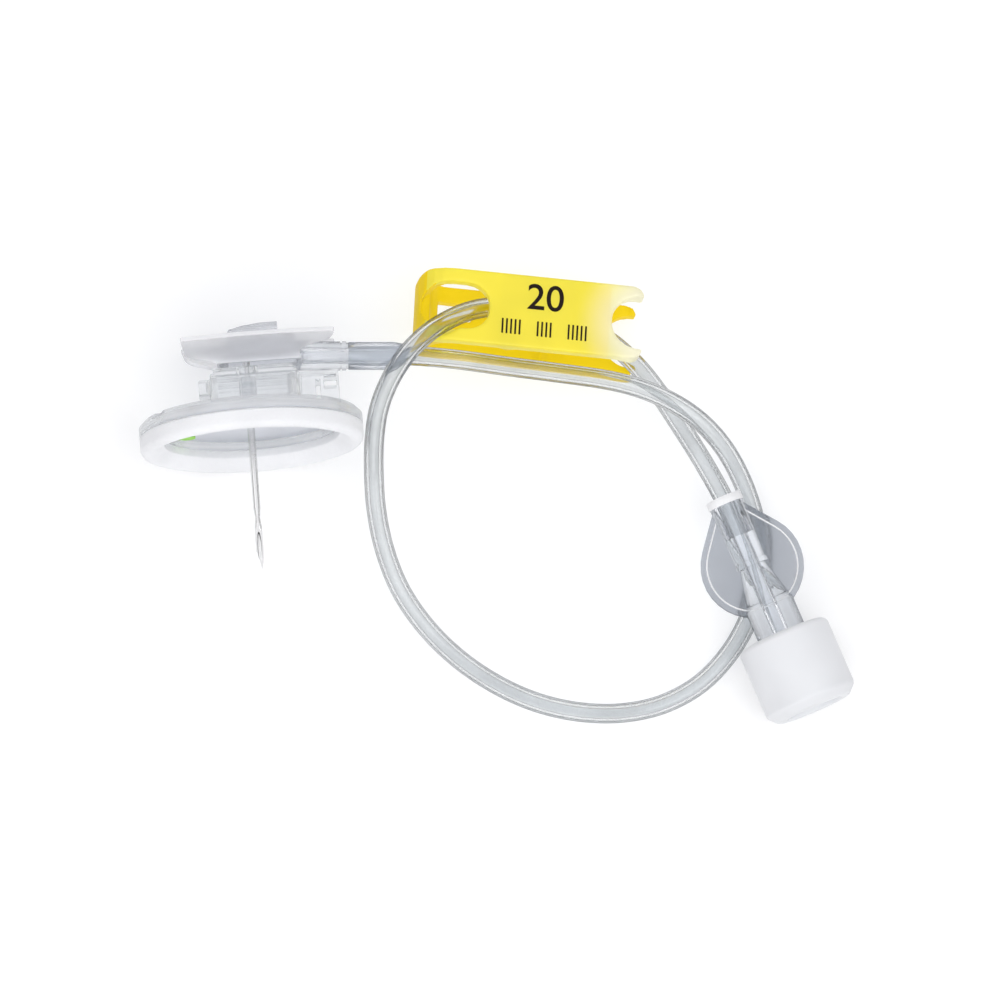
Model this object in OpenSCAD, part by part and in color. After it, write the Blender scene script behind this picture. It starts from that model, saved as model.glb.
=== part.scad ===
// Safety infusion set: a non-coring needle with a wing grip, a sliding needle guard with a comfort
// pad, an extension tube with a pinch clamp, and a lock connector with its cap. It lies on a table.
// Millimetres. The device is drawn standing on its pad, needle down, and is then laid on its side.

/* [Needle] */
// Outside diameter of the needle
needle_d = 0.91; // [0.7:0.01:1.3]
// Diameter of the needle's bore
needle_bore = 0.6; // [0.3:0.01:0.65]
// Length of the needle below the pad
needle_reach = 14.6; // [10:0.1:17]
// Length of the slanted opening at the point
bevel_l = 5.4; // [3:0.1:6]

/* [Guard] */
// Radius of the base plate and of the pad
base_r = 13.4; // [12:0.1:15]
// Height of the comfort pad
pad_h = 2.25; // [1.8:0.05:3]
// Height of the pad's inner edge above the skin
pad_dish = 1.5; // [0.5:0.1:1.7]
// Thickness of the base plate at its rim
plate_t = 1.75; // [1.5:0.05:2.5]
// Height of the bevel round the rim
plate_bevel = 0.6; // [0.2:0.1:1]
// Width of the rim round the recess under the plate
rim_w = 2.9; // [2.4:0.1:4.5]
// Depth of the recess in the plate
recess_d = 1.05; // [0.5:0.05:1.2]
// Length of the guard housing, along the tube's way out
housing_l = 10.6; // [9:0.1:12]
// Width of the guard housing
housing_w = 7.2; // [6:0.1:9]
// Height of the guard housing above the plate
housing_h = 5.6; // [4.5:0.1:6.5]
// Wall of the guard housing
housing_wall = 0.9; // [0.6:0.1:1.2]
// Length of the latch post beside the housing
post_l = 4.8; // [3:0.1:5.5]
// Outside diameter of the needle guide
guide_d = 2.2; // [1.9:0.1:3]
// Thickness of the steel lock clip
clip_t = 0.25; // [0.15:0.05:0.4]
// Width of the steel lock clip
clip_w = 2.4; // [1.5:0.1:3]

/* [Hub] */
// Height of the tube's axis over the needle, above the top of the guard
socket_rise = 1.9; // [1.8:0.01:2.5]
// Width of the hub body
hub_w = 4.4; // [4:0.1:5.5]
// Height of the hub's hump above its foot
hub_h = 5.3; // [4.8:0.1:6]
// Thickness of the hub's foot
foot_t = 0.5; // [0.3:0.1:0.8]
// Outside diameter of the tube socket
socket_d = 3.5; // [3.2:0.1:4]
// Distance from the needle to the mouth of the tube socket
socket_l = 12.3; // [11.5:0.1:14]

/* [Wings] */
// Length of each wing from its root
wing_l = 10.0; // [8:0.1:10.2]
// Thickness of the wings
wing_t = 1.0; // [0.8:0.1:1.4]
// Rise of the wing on the upper side
near_rise = 5; // [0:1:15]
// Rise of the wing that lies on the table, where it flexes
far_rise = 28; // [26:1:34]

/* [Sleeve and tube] */
// Outside diameter of the extension tube
tube_d = 2.35; // [1.8:0.05:2.5]
// Bore of the extension tube
tube_bore = 1.3; // [0.8:0.05:1.4]
// Outside diameter of the sleeve
sleeve_d = 3.36; // [3:0.02:3.6]
// Length of the sleeve's straight part
sleeve_l = 5.4; // [4:0.1:6]
// Length of the sleeve's tapered end
sleeve_taper = 1.9; // [1:0.1:3]

/* [Pinch clamp] */
// Length of the clamp
clamp_l = 27.3; // [25:0.1:30]
// Width of the clamp
clamp_w = 9.2; // [8.5:0.1:10.5]
// Depth of the clamp
clamp_h = 8.4; // [8:0.1:9.5]
// Thickness of the clamp's strap
clamp_t = 1.5; // [1.2:0.1:1.6]
// Length of the hole that the tube goes in through
clamp_hole_l = 8.0; // [7:0.1:9]
// Width of that hole
clamp_hole_w = 5.8; // [4.5:0.1:6.4]
// Radius of the notch that the tube comes out of
clamp_notch_r = 3.3; // [2.4:0.1:3.6]

/* [Connector and cap] */
// Diameter of the connector's collar
collar_d = 4.2; // [3.8:0.1:4.8]
// Length of the connector's upper barrel
barrel_l = 8.9; // [8:0.1:11]
// Diameter of the lock end
lock_d = 6.0; // [5.8:0.1:6.4]
// Diameter across the lock lugs
lug_d = 7.8; // [7.2:0.1:7.9]
// Mouth diameter of the taper socket
taper_d = 4.3; // [4.1:0.05:4.5]
// Depth of the taper socket
taper_depth = 7.5; // [7:0.1:9]
// Radius of the connector's finger tab
tab_r = 6.2; // [5:0.1:7]
// Thickness of the finger tab
tab_t = 1.1; // [0.8:0.1:1.4]
// Outside diameter of the cap
cap_d = 11.4; // [11:0.1:12]
// Length of the cap
cap_l = 9.8; // [9.2:0.1:11]
// Bore of the cap's skirt
cap_bore = 8.4; // [8.3:0.1:9]

/* [Hidden] */
$fn = 48;

// Clearances
seat_gap = 0.1;
slide_gap = 0.05;
tube_gap = 0.02;
taper_gap = 0.06;

// Heights in the device's own frame, from the skin up
plate_z = pad_h;
plate_top = pad_h + plate_t;
ceiling_z = pad_h + recess_d;
housing_top = plate_top + housing_h;
foot_z = housing_top + seat_gap;
wing_z = foot_z + foot_t;
needle_r = needle_d / 2;

// Places along the device, from the needle's axis
recess_r = base_r - rim_w;
housing_x = -4.5;
post_x = housing_x + housing_l + 0.1;
hub_back = -3.2;
hub_front = 6.1;
body_back = -2.1;
wing_back = hub_back - 0.3;
wing_front = hub_front + 0.5;
wing_root = 0.9;
clip_z = plate_top + 2;
post_drop = 0.9;

// The tube socket leans down a little from the hub
socket_lean = 4.2;
socket_z = housing_top + socket_rise;
socket_mouth = [socket_l * cos(socket_lean), 0, socket_z - socket_l * sin(socket_lean)];
needle_top = socket_z - 0.9;
socket_from = hub_front - 0.1;

// How the device lies: on its rim, needle point a little up
lie_tilt = 6;
lie_turn = 4.2;

// Lengths along the connector
cone_l = 5.1;
lock_barrel = 3.9;
cap_start = barrel_l + cone_l + lock_barrel;
lock_end = cap_start + taper_depth - 0.1;
tube_seat = 5;

// The middle line of the tube, from the hub's socket to the connector
tube_route = [
    [8.6, 11.0, 12.6], [12.6, 11.0, 12.6], [16.6, 11.0, 12.6], [21.6, 10.6, 12.2],
    [27.6, 9.9, 11.1], [33.6, 9.2, 10.4], [39.6, 8.4, 9.7], [44.0, 7.3, 9.1], [47.8, 5.6, 8.4],
    [51.0, 3.4, 7.2], [53.6, 0.6, 5.2], [55.6, -2.8, 3.0], [57.0, -6.6, 1.6],
    [57.8, -10.6, 1.2], [57.7, -15.0, 1.2], [56.4, -19.6, 1.2], [54.0, -23.8, 1.2],
    [50.5, -27.4, 1.2], [46.0, -29.8, 1.2], [41.0, -30.8, 1.2], [35.8, -30.6, 1.2],
    [30.8, -29.4, 1.2], [26.0, -27.2, 1.3], [21.6, -24.2, 1.7], [17.8, -20.5, 2.4],
    [14.8, -16.2, 3.3], [12.9, -11.5, 4.5], [11.9, -6.8, 5.9], [11.6, -2.3, 7.6],
    [11.7, 1.6, 9.7], [12.3, 5.0, 12.0], [13.7, 8.2, 14.2], [15.7, 11.1, 15.4],
    [18.2, 13.6, 14.9], [20.9, 15.5, 12.9], [23.6, 16.8, 10.3], [26.5, 17.4, 8.1],
    [30.4, 17.3, 6.5], [35.2, 16.1, 5.7], [39.6, 13.7, 5.4], [43.0, 10.7, 5.3],
    [45.8, 7.2, 5.2], [48.3, 3.4, 5.4], [50.9, -0.8, 5.7], [53.4, -5.3, 5.7]
];

// The connector: where its collar starts and how it lies
connector_at = tube_route[len(tube_route) - 1];
connector_turn = 23.2;

// The pinch clamp: how it is turned, and where its middle lies. Its outlet rests on the table,
// and the tube that runs through it carries its inlet.
clamp_roll = -14;
clamp_pitch = 8;
clamp_turn = -5;
clamp_at = [29.2, 14.6, clamp_w / 2 * sin(-clamp_roll) + clamp_l / 2 * sin(clamp_pitch)];
clamp_gap = 0.3;
clamp_first = 30;
clamp_last = 42;

function unit(v) = v / norm(v);
function arc(cx, cy, r, a0, a1, n = 6) =
    [for (k = [0:n]) [cx + r * cos(a0 + (a1 - a0) * k / n), cy + r * sin(a0 + (a1 - a0) * k / n)]];
function rounded(x0, y0, x1, y1, r) = concat(
    arc(x1 - r, y1 - r, r, 0, 90), arc(x0 + r, y1 - r, r, 90, 180),
    arc(x0 + r, y0 + r, r, 180, 270), arc(x1 - r, y0 + r, r, 270, 360));

// Lays the device on its side, with its tube socket where the tube starts
module laid() {
    translate(tube_route[0])
        rotate([-(90 + lie_tilt), 0, lie_turn])
            translate(-socket_mouth)
                children();
}

// Turns children so that they run along the tube socket, from over the needle
module along_socket() {
    translate([0, 0, socket_z]) rotate([0, 90 + socket_lean, 0]) children();
}

module needle() {
    color([0.72, 0.73, 0.75])
    laid() {
        lean = atan(needle_d / bevel_l);
        difference() {
            translate([0, 0, -needle_reach]) cylinder(r = needle_r, h = needle_reach + needle_top);
            translate([0, 0, -needle_reach - 1])
                cylinder(d = needle_bore, h = needle_reach + needle_top + 2);
            translate([0, needle_r, -needle_reach])
                rotate([lean, 0, 0])
                    translate([-2, -6, -2]) cube([4, 6, bevel_l + 4]);
            translate([0.1, 0, -needle_reach])
                rotate([0, -12, 0])
                    translate([-3, -2, -1]) cube([3, 4, 3.2]);
        }
    }
}

// Outline of the hub's body, seen from its side
function hub_outline() = let (top = foot_z + hub_h) [
    [body_back, wing_z], [hub_front, wing_z], [hub_front, top - 1.9],
    [hub_front - 1.5, top - 1.3], [hub_front - 2.1, top - 1.2], [hub_front - 2.1, top],
    [1.9, top], [-0.2, top - 0.25], [-1.8, top - 0.6],
    [body_back, top - 1]
];

module hub_body(w) {
    rotate([90, 0, 0])
        linear_extrude(w, center = true) polygon(hub_outline());
}

module hub() {
    color([0.86, 0.88, 0.9, 0.5])
    laid() {
        difference() {
            union() {
                translate([0, 0, foot_z])
                    linear_extrude(foot_t)
                        polygon(rounded(hub_back, -hub_w / 2 - 0.7, hub_front, hub_w / 2 + 0.7, 0.8));
                hub_body(hub_w);
                along_socket()
                    translate([0, 0, socket_from]) cylinder(d = socket_d, h = socket_l - 1 - socket_from);
                along_socket()
                    translate([0, 0, socket_from]) cylinder(d = socket_d - 0.3, h = socket_l - socket_from);
                along_socket() translate([0, 0, socket_l - 0.8]) cylinder(d = socket_d, h = 0.5);
            }
            translate([0, 0, foot_z - 1]) cylinder(r = needle_r, h = needle_top - foot_z + 1);
            translate([0, 0, needle_top - 0.1]) cylinder(d = needle_bore, h = 1);
            along_socket() translate([0, 0, -0.5]) cylinder(d = tube_bore, h = socket_l + 1);
        }
    }
}

// Outline of one wing from its root, with the tip towards +Y
function wing_outline() = [
    [-3.3, -0.6], [-3.4, 0], [-6.0, 0.1], [-6.7, 0.5], [-7.1, 1.3], [-7.4, 0.43 * wing_l],
    [-7.7, wing_l], [-1.7, wing_l + 0.6], [4.0, wing_l + 0.6], [10.8, wing_l - 0.2],
    [10.2, 0.56 * wing_l], [8.4, 0.44 * wing_l], [6.5, 1.9], [6.4, -0.6]
];

module wing(rise) {
    translate([0, hub_w / 2 + 0.6, wing_z])
        rotate([rise, 0, 0])
            linear_extrude(wing_t) polygon(wing_outline());
}

module wings() {
    color([0.85, 0.86, 0.88, 0.7])
    laid() {
        difference() {
            union() {
                translate([wing_back, -hub_w / 2 - wing_root, wing_z])
                    cube([wing_front - wing_back, hub_w + 2 * wing_root, wing_t]);
                wing(far_rise);
                mirror([0, 1, 0]) wing(near_rise);
            }
            hub_body(hub_w);
            along_socket() cylinder(d = socket_d, h = socket_l);
        }
    }
}

module strain_relief() {
    color([0.8, 0.83, 0.86, 0.7])
    laid()
        along_socket()
            translate([0, 0, socket_l])
                difference() {
                    union() {
                        cylinder(d = sleeve_d, h = sleeve_l);
                        translate([0, 0, sleeve_l])
                            cylinder(d1 = sleeve_d, d2 = tube_d + 0.3, h = sleeve_taper);
                    }
                    translate([0, 0, -1])
                        cylinder(d = tube_d + 2 * tube_gap, h = sleeve_l + sleeve_taper + 2);
                }
}

module base_plate() {
    color([0.88, 0.9, 0.91, 0.4])
    laid() {
        guide_hole = guide_d / 2 + tube_gap;
        difference() {
            rotate_extrude($fn = 96)
                polygon([[guide_hole, ceiling_z], [recess_r, ceiling_z], [recess_r, plate_z],
                         [base_r, plate_z], [base_r, plate_top - plate_bevel],
                         [base_r - plate_bevel, plate_top], [guide_hole, plate_top]]);
            for (side = [-1, 1])
                translate([-base_r * 0.83, side * base_r * 0.52, plate_top - plate_bevel])
                    cylinder(r = 1, h = 2);
        }
    }
}

module guard_housing() {
    color([0.86, 0.89, 0.9, 0.5])
    laid() {
        inner_l = housing_l - 2 * housing_wall;
        inner_w = housing_w - 2 * housing_wall;
        difference() {
            union() {
                translate([0, 0, plate_top])
                    linear_extrude(housing_h - 0.6)
                        polygon(rounded(housing_x, -housing_w / 2, housing_x + housing_l,
                                        housing_w / 2, 1.2));
                translate([0, 0, housing_top - 0.6])
                    linear_extrude(0.6)
                        polygon(rounded(housing_x + 0.4, -housing_w / 2 + 0.4,
                                        housing_x + housing_l - 0.4, housing_w / 2 - 0.4, 1));
                translate([housing_x - 1.4, -1.6, plate_top + 2.8]) cube([1.6, 3.2, 1.8]);
                translate([post_x - 0.4, -1.9, plate_top])
                    cube([post_l + 0.3, 3.8, housing_h - post_drop]);
            }
            translate([housing_x + housing_wall, -inner_w / 2, plate_top - 1])
                cube([inner_l, inner_w, housing_h - housing_wall + 1]);
            cylinder(r = 1.3, h = housing_top + 1);
            translate([post_x + 2.9, -2.4, plate_top + 2.8]) cube([1.5, 4.8, 1.3]);
            translate([post_x + 1.9, -2.4, plate_top + 1]) cube([0.5, 4.8, housing_h - 3]);
        }
    }
}

module needle_guide() {
    color([0.9, 0.92, 0.93, 0.6])
    laid() {
        difference() {
            union() {
                translate([0, 0, ceiling_z])
                    cylinder(d = guide_d, h = housing_top - housing_wall - ceiling_z - seat_gap);
                translate([0, 0, plate_top]) cylinder(d = guide_d + 1.4, h = 0.6);
            }
            translate([0, 0, ceiling_z - 1]) cylinder(r = needle_r + slide_gap, h = housing_top);
            translate([needle_r / 2, -clip_w / 2 - 0.1, clip_z - 0.15])
                cube([3, clip_w + 0.2, clip_t + 0.3]);
        }
    }
}

module lock_clip() {
    color([0.7, 0.71, 0.73])
    laid() {
        wall_x = housing_x + housing_l - housing_wall;
        leg_h = housing_top - housing_wall - plate_top - 2 * seat_gap;
        translate([needle_r + slide_gap + 0.05, -clip_w / 2, clip_z])
            cube([wall_x - needle_r - slide_gap - 0.05 - tube_gap, clip_w, clip_t]);
        translate([wall_x - tube_gap - clip_t, -clip_w / 2, plate_top + seat_gap])
            cube([clip_t, clip_w, leg_h]);
    }
}

module comfort_pad() {
    color([0.97, 0.97, 0.98])
    laid() {
        edge = 0.8;
        rotate_extrude($fn = 96)
            polygon(concat(
                [[recess_r, pad_h], [recess_r, pad_dish], [recess_r + 0.3, pad_dish - 0.35],
                 [base_r - 1.6, 0.12], [base_r - 1.2, 0]],
                arc(base_r - edge, edge, edge, 270, 360, 5),
                [[base_r, pad_h]]));
    }
}

module size_dot() {
    color([0.45, 0.75, 0.2])
    laid()
        translate([-0.73 * recess_r, 0.52 * recess_r, ceiling_z - 0.2])
            cylinder(r = 0.95, h = 0.2, $fn = 24);
}

// Points on a smooth line through the tube's route, with two steps to each stretch
function through(p, i, t) =
    let (n = len(p), b = p[i], c = p[i + 1],
         a = i > 0 ? p[i - 1] : 2 * b - c, d = i + 2 < n ? p[i + 2] : 2 * c - b)
    0.5 * (2 * b + (c - a) * t + (2 * a - 5 * b + 4 * c - d) * t * t
           + (3 * b - a - 3 * c + d) * t * t * t);
function smooth_line(p) =
    concat([for (i = [0:len(p) - 2]) for (t = [0, 0.5]) through(p, i, t)], [p[len(p) - 1]]);

module swept_tube(line, r, sides) {
    n = len(line);
    ways = [for (i = [0:n - 1]) unit(line[min(i + 1, n - 1)] - line[max(i - 1, 0)])];
    points = [for (i = [0:n - 1])
        let (across = unit(cross(ways[i], [0, 0, 1])), up = cross(across, ways[i]))
        for (k = [0:sides - 1])
            line[i] + r * (cos(360 * (k + 0.5) / sides) * across + sin(360 * (k + 0.5) / sides) * up)];
    walls = [for (i = [0:n - 2]) for (k = [0:sides - 1])
        let (a = i * sides + k, b = i * sides + (k + 1) % sides)
        each [[a, b, b + sides], [a, b + sides, a + sides]]];
    ends = [[for (k = [sides - 1:-1:0]) k], [for (k = [0:sides - 1]) (n - 1) * sides + k]];
    polyhedron(points = points, faces = concat(walls, ends));
}

module extension_tube() {
    color([0.82, 0.85, 0.86, 0.6])
    swept_tube(smooth_line(tube_line()), tube_d / 2, 8);
}

// The tube's route, on into its seat in the connector's collar
function tube_line() = concat(tube_route,
    [tube_route[len(tube_route) - 1] + tube_seat * [sin(connector_turn), -cos(connector_turn), 0]]);

// The strap of the clamp, seen from its side
function clamp_outline() = let (l = clamp_l / 2, h = clamp_h, t = clamp_t, r = clamp_h / 2) concat(
    [[l, 0], [l, t], [l - 0.5, t + 0.4], [l - 1.2, t]],
    [[3.2, t], [2.2, t + 0.7], [1.2, t]],
    arc(-l + r + 0.4, r, r - t, 270, 90, 10),
    [[-3.6, h - t], [-2.6, h - t - 0.7], [-1.6, h - t]],
    [[l - 3, h - t], [l - 0.3, h - t - 1.0], [l, h - t - 0.6], [l, h - 0.3], [l - 0.3, h]],
    arc(-l + r, r, r, 90, 270, 10));

module pinch_clamp() {
    l = clamp_l / 2;
    color([0.98, 0.88, 0.15])
    difference() {
        translate(clamp_at)
            rotate([0, 0, clamp_turn]) rotate([0, clamp_pitch, 0]) rotate([clamp_roll, 0, 0])
                difference() {
                    intersection() {
                        rotate([90, 0, 0])
                            linear_extrude(clamp_w, center = true) polygon(clamp_outline());
                        translate([0, 0, -1])
                            linear_extrude(clamp_h + 2)
                                polygon(rounded(-l, -clamp_w / 2, l, clamp_w / 2, 1.6));
                    }
                    translate([0, 0, clamp_h / 2])
                        linear_extrude(clamp_h)
                            polygon(rounded(-l + 0.6, -clamp_hole_w / 2, -l + 0.6 + clamp_hole_l,
                                            clamp_hole_w / 2, clamp_hole_w / 2 - 0.2));
                    translate([-l + 3.2, 0.4, -1]) cube([4.2, 2.2, clamp_h / 2]);
                    translate([l - 0.6, 0, clamp_t + 0.1])
                        cylinder(r = clamp_notch_r, h = clamp_h);
                }
        swept_tube(smooth_line([for (i = [clamp_first:clamp_last]) tube_route[i]]),
                   tube_d / 2 + clamp_gap, 12);
    }
}

module as_connected() {
    translate(connector_at) rotate([90, 0, connector_turn]) children();
}

// Outline of the finger tab, a disc that runs up to the collar
function tab_outline(r, tip_r, reach) = let (b = asin((r - tip_r) / reach)) concat(
    arc(0, 0, r, 180 - b, 360 + b, 24), arc(0, reach, tip_r, b, 180 - b, 8));

module connector() {
    color([0.84, 0.87, 0.89, 0.6])
    as_connected() {
        difference() {
            union() {
                cylinder(d1 = collar_d, d2 = collar_d - 0.3, h = barrel_l);
                translate([0, 0, barrel_l - 0.5]) cylinder(d = collar_d, h = 0.6);
                translate([0, 0, barrel_l])
                    cylinder(d1 = collar_d - 1.0, d2 = lock_d - 0.3, h = cone_l);
                translate([0, 0, barrel_l + cone_l])
                    cylinder(d = lock_d, h = lock_end - barrel_l - cone_l);
                intersection() {
                    translate([0, 0, lock_end - 1.4]) cylinder(d = lug_d, h = 1.4);
                    translate([-lug_d, -1.6, lock_end - 2]) cube([2 * lug_d, 3.2, 3]);
                }
                translate([0, -0.9 + tab_t / 2, barrel_l])
                    rotate([90, 0, 0])
                        mirror([0, 1, 0])
                            linear_extrude(tab_t)
                                polygon(tab_outline(tab_r, 2.2, barrel_l - 2.4));
            }
            translate([0, 0, -1]) cylinder(d = tube_d + 2 * tube_gap, h = tube_seat + 1);
            cylinder(d = tube_bore, h = cap_start);
            translate([0, 0, lock_end - taper_depth])
                cylinder(d1 = taper_d - 0.06 * taper_depth, d2 = taper_d, h = taper_depth + 0.001);
        }
    }
}

module connector_cap() {
    color([0.97, 0.97, 0.98])
    as_connected() translate([0, 0, cap_start]) {
        r = cap_d / 2;
        floor_z = cap_l - 1.4;
        plug_l = taper_depth - 0.5;
        difference() {
            rotate_extrude($fn = 64)
                polygon([[0, 0.5], [cap_bore / 2 + 0.4, 0], [r - 0.5, 0], [r, 0.5], [r, cap_l - 1.1],
                         [r - 1.1, cap_l], [0, cap_l]]);
            translate([0, 0, -1]) cylinder(d = cap_bore, h = floor_z + 1);
            translate([0, 0, cap_l - 0.6]) cylinder(r = r - 2.2, h = 1);
        }
        translate([0, 0, floor_z - plug_l])
            cylinder(d1 = taper_d - 0.06 * (taper_depth - 0.4) - 2 * taper_gap,
                     d2 = taper_d - 2 * taper_gap, h = plug_l);
    }
}

needle();
hub();
wings();
strain_relief();
base_plate();
guard_housing();
needle_guide();
lock_clip();
comfort_pad();
size_dot();
extension_tube();
pinch_clamp();
connector();
connector_cap();
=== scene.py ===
# %% [markdown]
# # A safety infusion set, dressed for its photograph
# The set is a non-coring needle in a moulded hub with a wing grip, a sliding needle guard with a
# comfort pad, a clear tube that runs in a loop through a yellow pinch clamp, and a lock connector
# with a white cap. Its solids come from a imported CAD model, which is the fixed frame here: every
# piece below is put where the frame says, and only looks are added.

import math

import bpy
from mathutils import Matrix, Vector


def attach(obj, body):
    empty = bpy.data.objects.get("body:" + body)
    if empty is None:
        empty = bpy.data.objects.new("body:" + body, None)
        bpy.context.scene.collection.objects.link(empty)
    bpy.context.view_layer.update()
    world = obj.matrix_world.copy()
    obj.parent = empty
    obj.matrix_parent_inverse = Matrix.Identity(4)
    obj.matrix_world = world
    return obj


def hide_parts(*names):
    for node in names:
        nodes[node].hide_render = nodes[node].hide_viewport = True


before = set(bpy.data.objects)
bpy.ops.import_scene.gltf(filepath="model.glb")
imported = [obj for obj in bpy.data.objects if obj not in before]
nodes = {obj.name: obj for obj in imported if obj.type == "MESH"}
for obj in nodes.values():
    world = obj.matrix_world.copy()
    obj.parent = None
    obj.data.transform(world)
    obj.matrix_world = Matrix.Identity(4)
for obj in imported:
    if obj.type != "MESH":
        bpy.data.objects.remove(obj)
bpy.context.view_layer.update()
print("CAD nodes:", ", ".join(sorted(nodes)))

# %% [markdown]
# ## The camera
# The photograph looks almost straight down on the set, with hardly any perspective. A long lens
# far away gives that: the view is 119.9 mm wide, and the lens follows from the distance.

# %% Camera
MM = 0.001
VIEW_WIDTH = 119.9 * MM
VIEW_CENTRE = Vector((26.7, -5.0, 0)) * MM
CAMERA_DISTANCE = 4.0
CAMERA_ELEVATION = math.radians(84)

back = Vector((0, -math.cos(CAMERA_ELEVATION), math.sin(CAMERA_ELEVATION)))
bpy.ops.object.camera_add(
    location=VIEW_CENTRE + CAMERA_DISTANCE * back,
    rotation=(math.pi / 2 - CAMERA_ELEVATION, 0, 0))
camera = bpy.context.object
camera.name = "photo_camera"
camera.data.lens = camera.data.sensor_width * CAMERA_DISTANCE / VIEW_WIDTH
camera.data.clip_start = 0.05
bpy.context.scene.camera = camera
bpy.context.scene.view_settings.view_transform = "Standard"
print(f"lens {camera.data.lens:.0f} mm at {CAMERA_DISTANCE} m")

# %% [markdown]
# ## Helpers for working by hand
# Operators act on all that is selected, so `only` selects one object. Each piece is shaped in
# millimetres in its own simple frame, standing at the origin, and `place` then lays it where it
# belongs and leaves its object at the origin, with its place in its mesh.

# %% Selecting, editing and placing
# Points nearer than this, in millimetres, count as one
TINY = 0.0005


def only(piece):
    bpy.ops.object.select_all(action="DESELECT")
    piece.select_set(True)
    bpy.context.view_layer.objects.active = piece


def place(piece, matrix):
    only(piece)
    piece.matrix_world = matrix @ Matrix.Scale(MM, 4)
    bpy.ops.object.transform_apply(location=True, rotation=True, scale=True)
    return piece


def turned(x=0, y=0, z=0):
    turn = Matrix.Rotation(math.radians(z), 4, "Z") @ Matrix.Rotation(math.radians(y), 4, "Y")
    return turn @ Matrix.Rotation(math.radians(x), 4, "X")


def shift(x, y, z):
    return Matrix.Translation(Vector((x, y, z)) * MM)


def in_mm(matrix):
    """The same frame for a mesh that is still in millimetres."""
    matrix = matrix.copy()
    matrix.translation /= MM
    return matrix


def modify(piece, kind, **settings):
    only(piece)
    modifier = piece.modifiers.new(kind.lower(), kind)
    for key, value in settings.items():
        setattr(modifier, key, value)
    bpy.ops.object.modifier_apply(modifier=modifier.name)


def smooth(piece, angle=35):
    only(piece)
    bpy.ops.object.shade_smooth_by_angle(angle=math.radians(angle))


def rounded_edges(piece, width, segments=2, angle=30):
    """Bevels the sharp edges, and clears the slivers that a bevel leaves."""
    modify(piece, "BEVEL", width=width, segments=segments, limit_method="ANGLE",
           angle_limit=math.radians(angle), use_clamp_overlap=True)
    bpy.ops.object.mode_set(mode="EDIT")
    bpy.ops.mesh.select_all(action="SELECT")
    bpy.ops.mesh.dissolve_degenerate(threshold=TINY)
    bpy.ops.object.mode_set(mode="OBJECT")


def weld(piece):
    """Joins points that lie together, and turns all faces outward."""
    only(piece)
    bpy.ops.object.mode_set(mode="EDIT")
    bpy.ops.mesh.select_all(action="SELECT")
    bpy.ops.mesh.remove_doubles(threshold=TINY)
    bpy.ops.mesh.normals_make_consistent(inside=False)
    bpy.ops.object.mode_set(mode="OBJECT")


# %% [markdown]
# ## The tube's route
# The tube is a clear hose, 2.35 mm across and about 21 cm long. It leaves the sleeve at the hub,
# runs right under the clamp, round a loose loop on the table, climbs over the sleeve in a low
# hump, goes through the clamp and down to the connector. These are the points that the CAD
# model's tube follows, in millimetres, with the last one inside the connector's collar.

# %% Route
TUBE_D = 2.35
TUBE_BORE = 1.3
CONNECTOR_TURN = 23.2
TUBE_SEAT = 5
ROUTE = [
    (8.6, 11.0, 12.6), (12.6, 11.0, 12.6), (16.6, 11.0, 12.6), (21.6, 10.6, 12.2),
    (27.6, 9.9, 11.1), (33.6, 9.2, 10.4), (39.6, 8.4, 9.7), (44.0, 7.3, 9.1), (47.8, 5.6, 8.4),
    (51.0, 3.4, 7.2), (53.6, 0.6, 5.2), (55.6, -2.8, 3.0), (57.0, -6.6, 1.6),
    (57.8, -10.6, 1.2), (57.7, -15.0, 1.2), (56.4, -19.6, 1.2), (54.0, -23.8, 1.2),
    (50.5, -27.4, 1.2), (46.0, -29.8, 1.2), (41.0, -30.8, 1.2), (35.8, -30.6, 1.2),
    (30.8, -29.4, 1.2), (26.0, -27.2, 1.3), (21.6, -24.2, 1.7), (17.8, -20.5, 2.4),
    (14.8, -16.2, 3.3), (12.9, -11.5, 4.5), (11.9, -6.8, 5.9), (11.6, -2.3, 7.6),
    (11.7, 1.6, 9.7), (12.3, 5.0, 12.0), (13.7, 8.2, 14.2), (15.7, 11.1, 15.4),
    (18.2, 13.6, 14.9), (20.9, 15.5, 12.9), (23.6, 16.8, 10.3), (26.5, 17.4, 8.1),
    (30.4, 17.3, 6.5), (35.2, 16.1, 5.7), (39.6, 13.7, 5.4), (43.0, 10.7, 5.3),
    (45.8, 7.2, 5.2), (48.3, 3.4, 5.4), (50.9, -0.8, 5.7), (53.4, -5.3, 5.7),
]
turn = math.radians(CONNECTOR_TURN)
seat_end = Vector(ROUTE[-1]) + TUBE_SEAT * Vector((math.sin(turn), -math.cos(turn), 0))
route = [Vector(p) for p in ROUTE] + [seat_end]


def smooth_line(points, steps):
    """A smooth line through the points, with so many steps to each stretch."""
    ends = [2 * points[0] - points[1], *points, 2 * points[-1] - points[-2]]
    line = []
    for a, b, c, d in zip(ends, ends[1:], ends[2:], ends[3:]):
        for k in range(steps):
            t = k / steps
            line.append(0.5 * (2 * b + (c - a) * t + (2 * a - 5 * b + 4 * c - d) * t * t
                               + (3 * b - a - 3 * c + d) * t ** 3))
    return line + [points[-1]]


tube_line = smooth_line(route, steps=8)


# %% [markdown]
# ## The tube's mesh
# A curve with a bevel would give a solid rod. A clear tube shows its bore as bright and dark
# streaks, so the wall is a real one: two rows of rings are swept along the line, the outer one
# and the bore, and ring-shaped ends close them into one solid.

# %% Sweep the tube
SIDES = 32


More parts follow.
